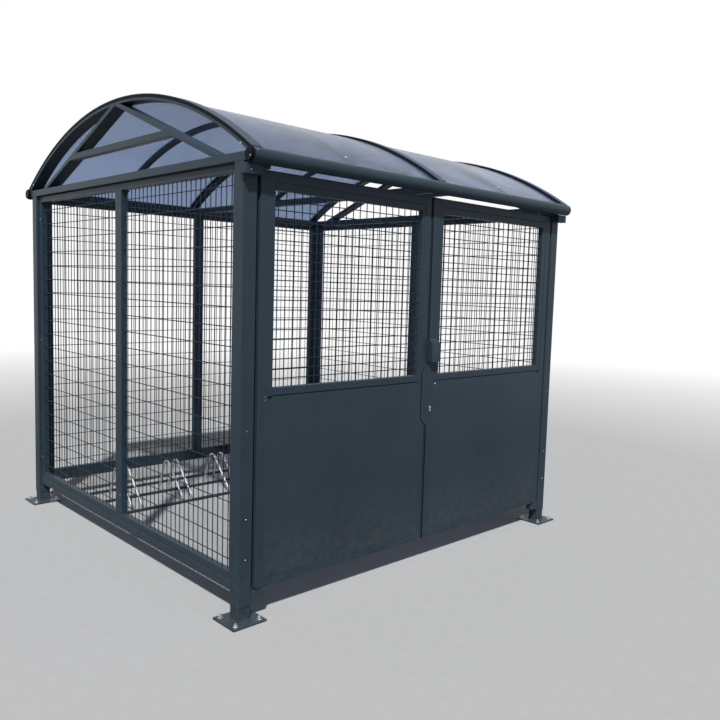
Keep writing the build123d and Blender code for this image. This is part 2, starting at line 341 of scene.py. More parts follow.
def finish(bm, name, body, material, stands_for=(), even=True):
    """Makes a mesh a piece of the shelter: named, finished, riding on its body."""
    mesh = as_mesh(bm, name)
    mesh.materials.append(material)
    mesh.shade_smooth()
    mesh.set_sharp_from_angle(angle=SMOOTH)
    piece = put(name, mesh)
    if even:
        modifier = piece.modifiers.new("Even shading", "WEIGHTED_NORMAL")
        modifier.keep_sharp = True
    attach(piece, body)
    if stands_for:
        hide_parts(*stands_for)


def finish_steel(bm, name, stands_for=(), body="shelter"):
    finish(bm, name, body, anthracite_tube_coat(), stands_for)


def finish_black(bm, name, stands_for=(), body="shelter"):
    finish(bm, name, body, cap_plastic(), stands_for)


def finish_fasteners(bm, name, material, body="shelter"):
    finish(bm, name, body, material)


def dress(node, shortest, radius, segments, ending, body="shelter"):
    """Rounds the long outer edges of a copy of a node."""
    bm = copied_node(node)
    soften(bm, outer_edges(bm, shortest), radius, segments)
    finish_steel(bm, f"{node}_{ending}", [node], body)


def button_screw(head_radius, head_height):
    """A low round head with a socket, its back on the XY plane."""
    bm = bmesh.new()
    add_cone(bm, Matrix.Translation((0, 0, head_height / 2)), head_height, head_radius, head_radius * 0.8, 14)
    soften(bm, list(end_face(bm.faces, 2).edges), head_height * 0.35, 2)
    top = end_face(bm.faces, 2)
    inset(bm, top, head_radius * 0.22)
    inset(bm, top, head_radius * 0.04, -head_height * 0.45)
    return as_mesh(bm, "button_screw")


def anchor_bolt():
    """A washer, a nut and the end of its stud, standing on the XY plane."""
    bm = bmesh.new()
    washer = (28, 14 * MILLI, 2.5 * MILLI, 0.5 * MILLI)
    nut = (6, 10.5 * MILLI, 10 * MILLI, 1 * MILLI)
    stud = (16, 5.6 * MILLI, 9 * MILLI, 0.8 * MILLI)
    lift = 0.0
    for sides, radius, high, round_off in (washer, nut, stud):
        made = add_cone(bm, Matrix.Translation((0, 0, lift + high / 2)), high, radius, radius, sides)
        soften(bm, list(end_face(faces_of(made), 2).edges), round_off, 2)
        lift += high
    return as_mesh(bm, "anchor_bolt")


# Node helpers


def add(tree, kind, inputs=None, **settings):
    """A node with its settings. An input takes a number or another node's socket."""
    made = tree.nodes.new(kind)
    for name, value in settings.items():
        setattr(made, name, value)
    for key, value in (inputs or {}).items():
        if isinstance(value, bpy.types.NodeSocket):
            tree.links.new(value, made.inputs[key])
        else:
            made.inputs[key].default_value = value
    return made


def ramp(tree, value, low, high, to_low=0.0, to_high=1.0):
    """Maps a range to another one, kept within it."""
    ends = {"From Min": low, "From Max": high, "To Min": to_low, "To Max": to_high}
    return add(tree, "ShaderNodeMapRange", {"Value": value, **ends}, clamp=True).outputs["Result"]


def maths(tree, operation, first, second):
    return add(tree, "ShaderNodeMath", {0: first, 1: second}, operation=operation).outputs[0]


def times(tree, first, *others):
    for other in others:
        first = maths(tree, "MULTIPLY", first, other)
    return first


def weighted(tree, *parts):
    """A sum of values, each with its weight."""
    total = None
    for value, weight in parts:
        part = times(tree, value, weight)
        total = part if total is None else maths(tree, "ADD", total, part)
    return total


def blend_colours(tree, share, first, second, mode="MIX"):
    made = add(tree, "ShaderNodeMix", {0: share, 6: first, 7: second}, data_type="RGBA", blend_type=mode)
    return made.outputs[2]


def solid(colour, factor=1.0, lift=0.0):
    """A colour made lighter or darker, with full alpha."""
    return (*[channel * factor + lift for channel in colour], 1.0)


def noise(tree, place, scale, detail=2.0, roughness=0.5):
    inputs = {"Vector": place, "Scale": scale, "Detail": detail, "Roughness": roughness}
    return add(tree, "ShaderNodeTexNoise", inputs).outputs["Fac"]


def stretched(tree, place, scale):
    return add(tree, "ShaderNodeMapping", {"Vector": place, "Scale": scale}).outputs[0]


def new_group(name, values, outs):
    """A shader node group with a position input, numbers with their defaults, and number outputs.

    Returns its tree and the sockets of its inputs.
    """
    tree = bpy.data.node_groups.new(name, "ShaderNodeTree")
    tree.interface.new_socket(name="Position", in_out="INPUT", socket_type="NodeSocketVector")
    for label, default in values.items():
        made = tree.interface.new_socket(name=label, in_out="INPUT", socket_type="NodeSocketFloat")
        made.default_value = default
    for label in outs:
        tree.interface.new_socket(name=label, in_out="OUTPUT", socket_type="NodeSocketFloat")
    return tree, tree.nodes.new("NodeGroupInput").outputs


def close_group(tree, values):
    add(tree, "NodeGroupOutput", values)


def use_group(tree, place, name, values):
    """A group placed in a material with its own values."""
    group = bpy.data.node_groups[name]
    return add(tree, "ShaderNodeGroup", {"Position": place, **values}, node_tree=group).outputs


def make_coat_group():
    """Powder coat: fine orange peel, broad changes of gloss and a trace of mottling."""
    tree, ins = new_group(
        "Powder coat texture",
        {"Peel Scale": 420.0, "Roughness": 0.4, "Gloss Change": 0.1},
        ("Height", "Roughness", "Mottle"),
    )
    peel = noise(tree, ins["Position"], ins["Peel Scale"], 1.0)
    broad = noise(tree, ins["Position"], 2.2, 3.0, 0.6)
    fine = noise(tree, ins["Position"], 60.0, 3.0, 0.6)
    mixed = weighted(tree, (broad, 0.7), (fine, 0.3))
    change = times(tree, maths(tree, "SUBTRACT", mixed, 0.5), ins["Gloss Change"])
    rough = maths(tree, "ADD", ins["Roughness"], change)
    close_group(tree, {"Height": peel, "Roughness": rough, "Mottle": mixed})


def make_weather_group():
    """Road dust low down and faint runs left by rain."""
    tree, ins = new_group(
        "Dust and rain", {"Dust Height": 0.5, "Dust": 0.3, "Runs": 0.15}, ("Dust", "Runs")
    )
    height = add(tree, "ShaderNodeSeparateXYZ", {0: ins["Position"]}).outputs["Z"]
    share = maths(tree, "SUBTRACT", 1.0, maths(tree, "DIVIDE", height, ins["Dust Height"]))
    low = maths(tree, "POWER", ramp(tree, share, 0.0, 1.0), 1.6)
    speck = ramp(tree, noise(tree, ins["Position"], 26.0, 5.0, 0.65), 0.32, 0.72)
    drawn = stretched(tree, ins["Position"], (38.0, 38.0, 0.9))
    runs = ramp(tree, noise(tree, drawn, 1.0, 4.0, 0.6), 0.5, 0.78)
    patch = ramp(tree, noise(tree, ins["Position"], 1.7, 2.0), 0.38, 0.65)
    dust = times(tree, low, speck, ins["Dust"])
    close_group(tree, {"Dust": dust, "Runs": times(tree, runs, patch, ins["Runs"])})


def make_edge_group():
    """Where a surface turns over an edge, for a lighter coat there: a painted highlight along the edges, with
    a little wear of the coat.
    """
    tree, ins = new_group("Edge highlight and wear", {"Radius": 0.003, "Amount": 0.5}, ("Edge",))
    rounded = add(tree, "ShaderNodeBevel", {"Radius": ins["Radius"]}, samples=4).outputs["Normal"]
    flat = add(tree, "ShaderNodeNewGeometry").outputs["Normal"]
    same = add(tree, "ShaderNodeVectorMath", {0: rounded, 1: flat}, operation="DOT_PRODUCT").outputs["Value"]
    turned = ramp(tree, same, 0.995, 0.82)
    broken = ramp(tree, noise(tree, ins["Position"], 90.0, 3.0, 0.6), 0.3, 0.62)
    close_group(tree, {"Edge": times(tree, turned, broken, ins["Amount"])})


def make_zinc_group():
    """The spangle of a galvanised surface: crystals that differ in tone and gloss."""
    tree, ins = new_group("Zinc spangle", {"Scale": 160.0}, ("Tone", "Height", "Roughness"))
    cells = add(tree, "ShaderNodeTexVoronoi", {"Vector": ins["Position"], "Scale": ins["Scale"]})
    tone = add(tree, "ShaderNodeSeparateColor", {0: cells.outputs["Color"]}).outputs[0]
    cloud = noise(tree, ins["Position"], 24.0, 4.0, 0.6)
    mixed = weighted(tree, (tone, 0.6), (cloud, 0.4))
    rough = ramp(tree, mixed, 0.0, 1.0, 0.34, 0.56)
    close_group(tree, {"Tone": mixed, "Height": cells.outputs["Distance"], "Roughness": rough})


def start_material(name):
    """An empty material, its node tree and its position socket."""
    material = bpy.data.materials.new(name)
    material.use_nodes = True
    tree = material.node_tree
    tree.nodes.clear()
    return material, tree, add(tree, "ShaderNodeTexCoord").outputs["Object"]


def close_surface(material, inputs, height, strength, distance):
    """Ends a material in one surface shader with a bump."""
    tree = material.node_tree
    bump = add(tree, "ShaderNodeBump", {"Strength": strength, "Distance": distance, "Height": height})
    shader = add(tree, "ShaderNodeBsdfPrincipled", {**inputs, "Normal": bump.outputs[0]})
    add(tree, "ShaderNodeOutputMaterial", {"Surface": shader.outputs[0]})
    return material


# Materials, each under the name of its function


def made_once(make):
    """Makes a material at the first call and finds it again at the next ones."""

    def found():
        return bpy.data.materials.get(make.__name__) or make(make.__name__)

    return found


def coated(name, colour, roughness, peel=420.0, dust=0.25, dust_height=0.45, runs=0.12, wave=0.0):
    """Anthracite powder coat on steel, with the values of one kind of part."""
    material, tree, place = start_material(name)
    values = {"Peel Scale": peel, "Roughness": roughness, "Gloss Change": 0.16}
    coat = use_group(tree, place, "Powder coat texture", values)
    values = {"Dust Height": dust_height, "Dust": dust, "Runs": runs}
    weather = use_group(tree, place, "Dust and rain", values)
    edge = use_group(tree, place, "Edge highlight and wear", {"Radius": 0.0035, "Amount": 0.55})["Edge"]
    tone = ramp(tree, coat["Mottle"], 0.3, 0.7)
    base = blend_colours(tree, tone, solid(colour, 0.88), solid(colour, 1.12, 0.002))
    # Lighter coat along the edges: a painted highlight, with a little wear
    base = blend_colours(tree, edge, base, solid(colours().edge))
    base = blend_colours(tree, weather["Runs"], base, solid(colours().run))
    base = blend_colours(tree, weather["Dust"], base, solid(colours().dust))
    rough = maths(tree, "ADD", coat["Roughness"], times(tree, weather["Dust"], 0.45))
    height = coat["Height"]
    if wave:
        height = maths(tree, "ADD", height, times(tree, noise(tree, place, 3.0, 1.0), wave))
    inputs = {"Base Color": base, "Roughness": rough, "Specular IOR Level": 0.15}
    return close_surface(material, inputs, height, 0.05, 0.001)


def zinc(name, tint, scale, metallic=1.0):
    """Galvanised or zinc plated steel."""
    material, tree, place = start_material(name)
    spangle = use_group(tree, place, "Zinc spangle", {"Scale": scale})
    values = {"Dust Height": 0.2, "Dust": 0.35, "Runs": 0.0}
    weather = use_group(tree, place, "Dust and rain", values)
    base = blend_colours(tree, spangle["Tone"], solid(tint, 0.72), solid(tint))
    base = blend_colours(tree, weather["Dust"], base, solid(colours().dust))
    inputs = {"Base Color": base, "Roughness": spangle["Roughness"], "Metallic": metallic}
    return close_surface(material, inputs, spangle["Height"], 0.15, 0.0006)


def moulded(name, colour, roughness, grain):
    """Black plastic or rubber with a fine grain."""
    material, tree, place = start_material(name)
    values = {"Peel Scale": grain, "Roughness": roughness, "Gloss Change": 0.2}
    coat = use_group(tree, place, "Powder coat texture", values)
    edge = use_group(tree, place, "Edge highlight and wear", {"Radius": 0.0015, "Amount": 0.04})["Edge"]
    base = blend_colours(tree, coat["Mottle"], solid(colour), solid(colour, 1.6))
    # A trace of lighter colour along the edges: a painted highlight, with a little wear
    base = blend_colours(tree, edge, base, solid(colours().edge))
    inputs = {"Base Color": base, "Roughness": coat["Roughness"], "Specular IOR Level": 0.05}
    return close_surface(material, inputs, coat["Height"], 0.2, 0.0005)


@made_once
def anthracite_tube_coat(name):
    return coated(name, colours().coat, 0.42)


@made_once
def anthracite_strip_coat(name):
    return coated(name, colours().strip_coat, 0.5, dust=0.0, runs=0.1)


@made_once
def anthracite_wire_coat(name):
    return coated(name, colours().wire_coat, 0.45, peel=600.0, dust=0.35, runs=0.0)


@made_once
def anthracite_sheet_coat(name):
    return coated(name, colours().sheet_coat, 0.36, dust=0.32, dust_height=0.7, runs=0.2, wave=30.0)


@made_once
def plated_fastener(name):
    return zinc(name, colours().screw, 900.0)


@made_once
def dull_fastener(name):
    return zinc(name, colours().dull_screw, 900.0)


@made_once
def galvanised_hoop(name):
    return zinc(name, colours().hoop, 220.0, 0.5)


@made_once
def cap_plastic(name):
    return moulded(name, colours().plastic, 0.45, 500.0)


@made_once
def seal_rubber(name):
    return moulded(name, colours().rubber, 0.6, 700.0)


@made_once
def smoked_roof_sheet(name):
    """Tinted roof sheet: clear enough to see light through, with a thin film of dust."""
    material, tree, place = start_material(name)
    film = noise(tree, place, 1.3, 3.0, 0.5)
    drawn = stretched(tree, place, (9.0, 0.8, 0.8))
    runs = ramp(tree, noise(tree, drawn, 1.0, 3.0, 0.5), 0.42, 0.75)
    specks = ramp(tree, noise(tree, place, 70.0, 1.0, 0.5), 0.70, 0.80)
    dirt = weighted(tree, (film, 0.55), (runs, 0.3), (specks, 0.1))
    cover = sizes().sheet_cover
    smoke, dusty = solid(colours().smoke), solid(colours().smoke_dust)
    inputs = {
        "Base Color": blend_colours(tree, ramp(tree, dirt, 0.2, 0.75), smoke, dusty),
        "Roughness": ramp(tree, dirt, 0.2, 0.8, 0.16, 0.26),
        "Alpha": ramp(tree, dirt, 0.2, 0.8, cover, cover + 0.08),
        "Transmission Weight": 0.85,
        "IOR": 1.12,
        "Specular IOR Level": 0.15,
    }
    return close_surface(material, inputs, noise(tree, place, 2.5, 1.0), 0.03, 0.002)


# Properties


def number_prop(name, description, default, **kind):
    return FloatProperty(name=name, description=description, default=default, **kind)


def length_prop(name, description, default):
    return number_prop(name, description, default, unit="LENGTH")


def angle_prop(name, description, default):
    return number_prop(name, description, default, unit="ROTATION")


def share_prop(name, description, default):
    return number_prop(name, description, default, subtype="FACTOR")


def colour_prop(name, description, default):
    return FloatVectorProperty(name=name, description=description, default=default, subtype="COLOR")


class ShelterSizes(bpy.types.PropertyGroup):
    """Sizes of the details that the model does not carry."""

    post_corner: length_prop("Post corner", "Outer corner radius of the posts", 0.006)
    bar_corner: length_prop("Bar corner", "Corner radius of the smaller tubes", 0.003)
    panel_bar: length_prop("Panel bar", "Width of the bars round the mesh", 0.04)
    seam_bar: length_prop("Seam bar", "Width of the left mesh's bar beside its meeting stile", 0.023)
    wire: length_prop("Wire", "Thickness of the mesh wires", 0.0055)
    upright_pitch: length_prop("Upright pitch", "Between the walls' upright wires", 0.05)
    cross_pitch: length_prop("Cross pitch", "Between the walls' cross wires", 0.1)
    door_pitch: length_prop("Door pitch", "Between the doors' wires, both ways", 0.05)
    wire_sink: length_prop("Wire sink", "How far the wires are pressed into each other", 0.0007)
    hoop: length_prop("Hoop", "Thickness of the rack's hoops", 0.016)
    arch_width: length_prop("Arch width", "Width of the arches between the gables", 0.04)
    arch_depth: length_prop("Arch depth", "Depth of the arches between the gables", 0.03)
    gable_arch_depth: length_prop("Gable arch depth", "Depth of the gable arches", 0.016)
    strip_width: length_prop("Strip width", "Width of the cover strips", 0.06)
    strip_metal: length_prop("Strip metal", "Height of a strip above its rubber bed", 0.005)
    seal_inset: length_prop("Seal inset", "How far the rubber bed lies within its strip", 0.002)
    rafter_depth: length_prop("Rafter depth", "Height of the rafters' tube", 0.026)
    weld: length_prop("Weld", "Radius of the weld beads", 0.004)
    collar_share: share_prop("Collar share", "Width of the collar against the truss", 0.52)
    sheet_cover: share_prop("Sheet cover", "How much of the light the roof sheets hold back", 0.78)


class ShelterColours(bpy.types.PropertyGroup):
    """Colours of the finishes."""

    coat: colour_prop("Coat", "Powder coat on the tubes", (0.027, 0.047, 0.066))
    strip_coat: colour_prop("Strip coat", "Powder coat on the cover strips", (0.036, 0.062, 0.095))
    wire_coat: colour_prop("Wire coat", "Powder coat on the mesh", (0.012, 0.020, 0.028))
    sheet_coat: colour_prop("Sheet coat", "Powder coat on the door sheets", (0.030, 0.048, 0.066))
    # Edge: the lighter colour along edges, a painted highlight with a little wear
    edge: colour_prop("Edge", "Coat where it is thin, on edges", (0.060, 0.085, 0.115))
    run: colour_prop("Run", "What rain leaves on the coat", (0.050, 0.064, 0.080))
    dust: colour_prop("Dust", "Road dust", (0.20, 0.19, 0.175))
    smoke: colour_prop("Smoke", "Tint of the roof sheets", (0.115, 0.195, 0.375))
    smoke_dust: colour_prop("Smoke dust", "Roof sheets under a film of dust", (0.160, 0.230, 0.415))
    # Plastic is also the colour of the black strips in the door seams, which are painted shade
    plastic: colour_prop("Plastic", "End caps, door seals and washers", (0.004, 0.006, 0.009))
    rubber: colour_prop("Rubber", "Seals under the cover strips", (0.010, 0.010, 0.011))
    hoop: colour_prop("Hoop", "Galvanised hoops", (0.74, 0.76, 0.78))
    screw: colour_prop("Screw", "Plated fasteners", (0.72, 0.77, 0.83))
    dull_screw: colour_prop("Dull screw", "Fasteners that have gone dull", (0.25, 0.29, 0.33))
    floor: colour_prop("Floor", "Studio floor", (0.56, 0.56, 0.56))


class ShelterStudio(bpy.types.PropertyGroup):
    """Camera and light."""

    place: FloatVectorProperty(
        name="Place",
        description="Where the camera stands",
        default=(-3.3476, -4.4640, 1.7152),
        subtype="TRANSLATION",
    )
    yaw: angle_prop("Yaw", "Camera heading from the depth axis", 0.7880)
    pitch: angle_prop("Pitch", "Camera tilt above the horizon", -0.0940)
    roll: angle_prop("Roll", "Camera roll", 0.0340)
    lens: number_prop("Lens", "Focal length in millimetres on a 36 mm sensor", 36.955)
    shift: FloatVectorProperty(name="Shift", description="Camera shift", size=2, default=(-0.0529, -0.0030))
    sun_heading: FloatVectorProperty(
        name="Sun heading",
        description="Where the key light travels",
        default=(0.60, 0.62, -1.0),
        subtype="DIRECTION",
    )
    sun_strength: number_prop("Key", "Strength of the key light", 3.4)
    sun_angle: angle_prop("Key angle", "Softness of the key light", radians(3))
    sky: number_prop("Sky", "Strength of the even light from all round", 0.16)


# Operators


class SHELTER_OT_posts(bpy.types.Operator):
    """Builds the four square posts, hollow at the foot"""

    bl_idname = "shelter.posts"
    bl_label = "Posts"

    def execute(self, context):
        wall, hollow = 3 * MILLI, 0.16
        for corner in CORNERS:
            bm = bmesh.new()
            add_bar(bm, *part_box(f"{corner}_post"), sizes().post_corner, 4)
            under = end_face(bm.faces, 2, -1)
            inset(bm, under, wall)
            push_face(bm, under, UP * hollow)
            finish_steel(bm, f"{corner}_post_tube", [f"{corner}_post"])
        return {"FINISHED"}


class SHELTER_OT_feet(bpy.types.Operator):
    """Builds the base plates with their stubs and weld beads, and the anchors"""

    bl_idname = "shelter.feet"
    bl_label = "Feet and anchors"

    def execute(self, context):
        plate, play, bolt_reach = 8 * MILLI, 3.3 * MILLI, 0.07
        weld = sizes().weld
        square = ((-1, -1), (1, -1), (1, 1), (-1, 1))
        bolts = bmesh.new()
        bolt = anchor_bolt()
        for corner in CORNERS:
            low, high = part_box(f"{corner}_foot")
            post_low, post_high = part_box(f"{corner}_post")
            centre = (low + high) / 2
            half = (post_high.x - post_low.x) / 2 - play
            bm = bmesh.new()
            made = add_block(bm, low, (high.x, high.y, plate))
            soften(bm, edges_along(made, 2), 6 * MILLI, 4)
            soften(bm, list(end_face(bm.faces, 2).edges), 1 * MILLI, 2)
            stub_low = (centre.x - half, centre.y - half, plate / 2)
            add_bar(bm, stub_low, (centre.x + half, centre.y + half, high.z), 4 * MILLI)
            ring, bead = half + weld * 0.2, plate + weld * 0.1
            ends = [Vector((centre.x + x * ring, centre.y + y * ring, bead)) for x, y in square]
            for index in range(4):
                add_rod(bm, ends[index], ends[(index + 1) % 4], weld)
            finish_steel(bm, f"{corner}_base", [f"{corner}_foot"])
            for x in (-bolt_reach, bolt_reach):
                for y in (-bolt_reach, bolt_reach):
                    # Each nut has stopped at an angle of its own
                    turn = Matrix.Rotation(x * 9 + y * 5 + centre.x, 4, "Z")
                    stamp(bolts, bolt, Matrix.Translation((centre.x + x, centre.y + y, plate)) @ turn)
        finish_fasteners(bolts, "anchor_bolts", plated_fastener())
        return {"FINISHED"}


class SHELTER_OT_head_frame(bpy.types.Operator):
    """Dresses the bars on top of the posts"""

    bl_idname = "shelter.head_frame"
    bl_label = "Head frame"

    def execute(self, context):
        for node in ("left_chord", "right_chord", "middle_tie", "back_beam"):
            dress(node, 0.5, sizes().bar_corner, 3, "bar")
        return {"FINISHED"}


class SHELTER_OT_eaves(bpy.types.Operator):
    """Builds the round eave tubes with their end caps and cap screws"""

    bl_idname = "shelter.eaves"
    bl_label = "Eave tubes"

    def execute(self, context):
        radius, z = roof.tube_radius, roof.tube_z
        shoulder, head_room, neck = 6 * MILLI, 3 * MILLI, 0.84
        end_screw_y, end_screw_z = 20 * MILLI, -10 * MILLI
        top_screw_x, top_screw_lift = 14 * MILLI, radians(30)
        caps, screws = bmesh.new(), bmesh.new()
        screw = button_screw(5.5 * MILLI, head_room)
        cap_low, cap_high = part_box("eave_tube_caps")
        for side, word in ((-1, "front"), (1, "back")):
            low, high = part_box(f"{word}_eave_tube")
            y = side * roof.tube_y
            bm = bmesh.new()
            add_rod(bm, (low.x, y, z), (high.x, y, z), radius, 72)
            finish_steel(bm, f"{word}_eave_pipe", [f"{word}_eave_tube"])
            for end, from_x, cap_x in ((-1, low.x, cap_low.x), (1, high.x, cap_high.x)):
                outward = Vector((end, 0, 0))
                step_x, to_x = from_x + end * shoulder, cap_x - end * head_room
                for start_x, end_x, wide, round_off in (
                    (from_x, step_x, radius, 2 * MILLI),
                    (step_x, to_x, radius * neck, 4 * MILLI),
                ):
                    place = facing(((start_x + end_x) / 2, y, z), outward)
                    made = add_cone(caps, place, abs(end_x - start_x), wide, wide, 72)
                    soften(caps, list(end_face(faces_of(made), 0, end).edges), round_off)
                place = Vector((to_x, y + side * end_screw_y, z + end_screw_z))
                stamp(screws, screw, facing(place, outward))
                out = Vector((0, side * cos(top_screw_lift), sin(top_screw_lift)))
                place = Vector((from_x - end * top_screw_x, y, z)) + out * radius
                stamp(screws, screw, facing(place, out))
        finish_black(caps, "eave_end_caps", ["eave_tube_caps"])
        finish_fasteners(screws, "eave_cap_screws", dull_fastener())
        return {"FINISHED"}


class SHELTER_OT_base_rails(bpy.types.Operator):
    """Builds the square rails under the walls"""

    bl_idname = "shelter.base_rails"
    bl_label = "Base rails"

    def execute(self, context):
        for node in ("left_base_rail", "right_base_rail", "back_base_rail"):
            bm = bmesh.new()
            add_bar(bm, *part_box(node), sizes().bar_corner)
            finish_steel(bm, f"{node}_bar", [node])
        return {"FINISHED"}


def spread(low, high, pitch):
    """Places at a pitch, evenly about the middle between two ends."""
    count = int((high - low) / pitch + 1e-6)
    return [(low + high) / 2 + (index - (count - 1) / 2) * pitch for index in range(count)]


def mesh_panel(node, outward, bar, last_bar, pitch_across, pitch_up, body):
    """A framed panel of round welded wires in the space of its node.

    outward is the axis and side that the panel faces. The cross wires lie on that side.
    last_bar is the width of the bar at the far end of the panel.
    """
    low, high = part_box(node)
    thick_axis, sign = outward
    across = 1 - thick_axis
    bars, wires = bmesh.new(), bmesh.new()

    def point(along, up, through):
        place = Vector((0, 0, up))
        place[across] = along
        place[thick_axis] = through
        return place

    near, far = low[thick_axis], high[thick_axis]
    left, right, bottom, top = low[across], high[across], low.z, high.z
    inner_left, inner_right, inner_bottom, inner_top = left + bar, right - last_bar, bottom + bar, top - bar
    for start, end in ((left, inner_left), (inner_right, right)):
        add_bar(bars, point(start, bottom, near), point(end, top, far), sizes().bar_corner)
    for start, end in ((bottom, inner_bottom), (inner_top, top)):
        add_bar(bars, point(inner_left, start, near), point(inner_right, end, far), sizes().bar_corner)
    finish_steel(bars, f"{node}_frame", [node], body)

    radius = sizes().wire / 2
    apart = sign * (radius - sizes().wire_sink / 2)
    behind, before = (near + far) / 2 - apart, (near + far) / 2 + apart
    bite = 2 * MILLI
    for along in spread(inner_left, inner_right, pitch_across):
        ends = inner_bottom - bite, inner_top + bite
        add_rod(wires, point(along, ends[0], behind), point(along, ends[1], behind), radius)
    for up in spread(inner_bottom, inner_top, pitch_up):
        ends = inner_left - bite, inner_right + bite
        add_rod(wires, point(ends[0], up, before), point(ends[1], up, before), radius)
    finish(wires, f"{node}_wires", body, anthracite_wire_coat(), even=False)


class SHELTER_OT_wall_panels(bpy.types.Operator):
    """Builds the six framed panels of welded wire"""

    bl_idname = "shelter.wall_panels"
    bl_label = "Wall panels"

    def execute(self, context):
        bar = sizes().panel_bar
        for node, outward in WALL_PANELS:
            mesh_panel(node, outward, bar, bar, sizes().upright_pitch, sizes().cross_pitch, "shelter")
        return {"FINISHED"}


class SHELTER_OT_arches(bpy.types.Operator):
    """Builds the five bent bars that carry the roof"""

    bl_idname = "shelter.arches"
    bl_label = "Arches"

    def execute(self, context):
        wide, deep, gable_deep = sizes().arch_width, sizes().arch_depth, sizes().gable_arch_depth
        for node, depth in (
            ("left_arch", gable_deep),
            ("right_arch", gable_deep),
            ("middle_arch", deep),
            ("quarter_arches", deep),
        ):
            low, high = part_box(node)
            spans = [(low.x, high.x)]
            if node == "quarter_arches":
                spans = [(low.x, low.x + wide), (high.x - wide, high.x)]
            bm = bmesh.new()
            for span in spans:
                add_band(bm, *span, roof.arch - depth, roof.arch, 72, sizes().bar_corner)
            finish_steel(bm, f"{node}_bar", [node])
        return {"FINISHED"}


class SHELTER_OT_trusses(bpy.types.Operator):
    """Builds the rafters and collars in the two gables"""

    bl_idname = "shelter.trusses"
    bl_label = "Gable trusses"

    def execute(self, context):
        head_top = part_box("left_chord")[1].z
        crown = roof.centre_z + roof.arch - sizes().gable_arch_depth
        # Where the rafters' lower edges meet the head frame and each other
        foot_y, apex_z = 1.103, crown - 4 * MILLI
        slope = atan2(apex_z - head_top, foot_y)
        collar_lift, collar_high = 0.37, 0.04
        collar_low = head_top + collar_lift * (apex_z - head_top)
        collar_half = foot_y * (1 - collar_lift)
        reach = collar_half + 4 * MILLI
        # Each rafter is cut from a longer bar
        blank_start, blank_end = -0.1, foot_y * 1.2
        for node in ("left_truss", "right_truss"):
            low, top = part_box(node)
            outer, inner = (low.x, top.x) if node == "left_truss" else (top.x, low.x)
            bm = bmesh.new()
            for side in (-1, 1):
                rafter = bmesh.new()
                rafter_end = (top.x, blank_end, sizes().rafter_depth)
                add_bar(rafter, (low.x, blank_start, 0), rafter_end, 2 * MILLI)
                turn = Matrix.Rotation(-slope, 4, "X")
                if side < 0:
                    turn = Matrix.Rotation(slope, 4, "X") @ Matrix.Scale(-1, 4, (0, 1, 0))
                lift = Matrix.Translation((0, 0, apex_z))
                bmesh.ops.transform(rafter, verts=rafter.verts, matrix=lift @ turn)
                cut_level(rafter, crown + 1 * MILLI, True)
                cut_level(rafter, head_top, False)
                join(bm, rafter)
            across = sorted((outer, outer + (inner - outer) * sizes().collar_share))
            collar = bmesh.new()
            collar_end = (across[1], reach, collar_low + collar_high)
            made = add_block(collar, (across[0], -reach, collar_low), collar_end)
            for vert in made:
                if vert.co.z > collar_low + collar_high / 2:
                    vert.co.y -= (1 if vert.co.y > 0 else -1) * collar_high / tan(slope)
            soften(collar, edges_along(made, 1), 2 * MILLI)
            join(bm, collar)
            for side in (-1, 1):
                weld_y = side * (collar_half - 1 * MILLI)
                start, end = ((x, weld_y, collar_low) for x in across)
                add_rod(bm, start, end, sizes().weld * 0.7)
            finish_steel(bm, f"{node}_bars", [node])
        return {"FINISHED"}


class SHELTER_OT_roof_cover(bpy.types.Operator):
    """Builds the smoked sheets, cover strips, seals and roof screws"""

    bl_idname = "shelter.roof_cover"
    bl_label = "Roof cover"

    def execute(self, context):
        play, edge = 0.3 * MILLI, 4 * MILLI
        metal, half = sizes().strip_metal, sizes().strip_width / 2
        bed = half - sizes().seal_inset
        low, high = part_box("cover_strips")
        strip_places = (low.x + half, 0.0, high.x - half)
        strips, seals, screws = bmesh.new(), bmesh.new(), bmesh.new()
        for x in strip_places:
            add_band(strips, x - half, x + half, roof.strip - metal, roof.strip, corner=1.5 * MILLI)
            add_band(seals, x - bed, x + bed, roof.sheet - play, roof.strip - metal + play)
        for node in ("left_roof_sheet", "right_roof_sheet"):
            low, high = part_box(node)
            layer = (roof.arch + play, roof.sheet)
            sheet = bmesh.new()
            add_band(sheet, low.x + edge, high.x - edge, *layer, corner=0.8 * MILLI)
            finish(sheet, f"{node}_bent", "shelter", smoked_roof_sheet(), [node])
            add_band(seals, low.x, low.x + edge, *layer)
            add_band(seals, high.x - edge, high.x, *layer)
        finish(strips, "roof_cover_strips", "shelter", anthracite_strip_coat(), ["cover_strips"])
        finish(seals, "roof_strip_seals", "shelter", seal_rubber())

        screw = button_screw(5 * MILLI, 3 * MILLI)
        reach = roof.end_angle - 0.03 / roof.strip
        sunk, sheet_middle = 3.4 * MILLI, 0.675
        for x in strip_places:
            for index in range(-4, 5):
                stamp(screws, screw, roof.turned_out(x, reach * index / 4, roof.strip - sunk))
        for x in (-sheet_middle, sheet_middle):
            for index in (-3, -1, 1, 3):
                stamp(screws, screw, roof.turned_out(x, reach * index / 3.2, roof.sheet))
        finish_fasteners(screws, "roof_screws", plated_fastener())
        return {"FINISHED"}


class SHELTER_OT_blocks(bpy.types.Operator):
    """Dresses the blocks on the front posts and round the hinge pins"""

    bl_idname = "shelter.blocks"
    bl_label = "Blocks"

    def execute(self, context):
        for node in ("front_head_blocks", "pivot_blocks"):
            dress(node, 0.02, 2 * MILLI, 2, "dressed")
        return {"FINISHED"}


